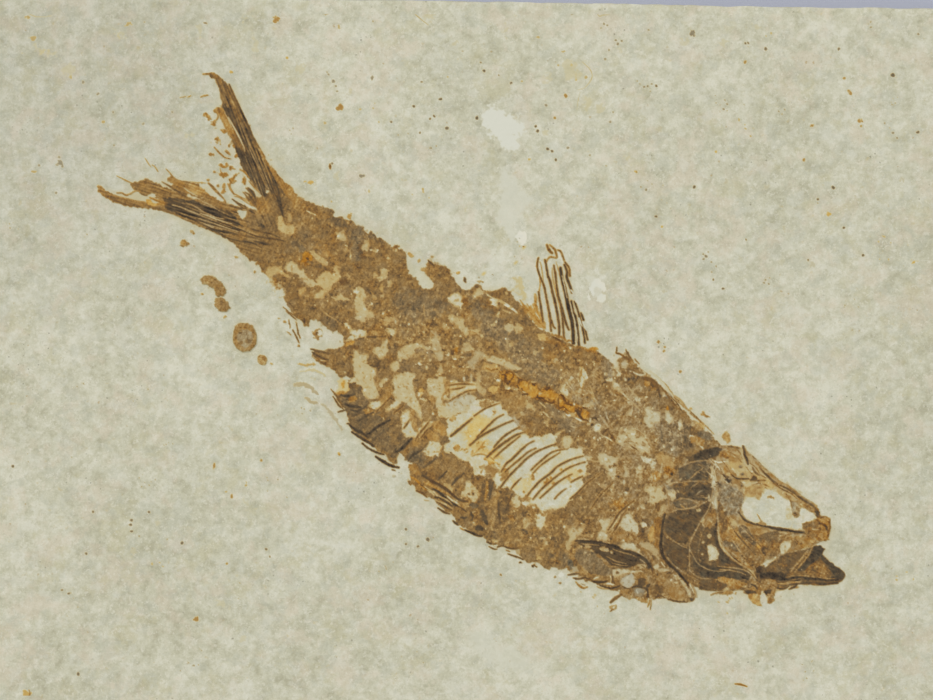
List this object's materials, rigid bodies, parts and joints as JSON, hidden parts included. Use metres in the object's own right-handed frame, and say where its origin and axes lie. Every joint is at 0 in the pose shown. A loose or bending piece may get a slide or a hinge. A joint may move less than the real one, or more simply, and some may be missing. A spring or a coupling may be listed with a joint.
{
  "type": "fossil fish slab",
  "caption": "Flat broken slab of pale laminated limestone with a herring-like fish fossil lying diagonally across its face in low relief, and small brown nodules beside the tail.",
  "frame": {"origin": "middle of the slab's flat underside", "axes": "+X along the slab's long upper edge, +Y across the face towards that edge, +Z out of the face that carries the fish; the slab lies on its back"},
  "size_m": [0.163, 0.117, 0.0119],
  "materials": {
    "limestone": "matt, fine grained, split along its bedding",
    "scales": "brown fossil scale film, slightly waxy",
    "skull_bone": "dark brown fossil bone, slightly polished",
    "gill_bone": "dark brown fossil bone, slightly polished",
    "jaw_bone": "dark brown fossil bone, slightly polished",
    "fin_rays": "brown fossil fin rays, matt",
    "tail_rays": "dark striped fossil fin rays, matt",
    "nodule": "brown mineral nodule, matt and grainy"
  },
  "bodies": {
    "root": {"limestone_slab": "limestone", "fish_flank": "scales", "fish_skull": "skull_bone", "gill_cover": "gill_bone", "lower_jaw": "jaw_bone", "dorsal_fin": "fin_rays", "pectoral_fin": "fin_rays", "tail_fin": "tail_rays", "nodule_long": "nodule", "nodule_round": "nodule", "nodule_small": "nodule"}
  },
  "joints": []
}
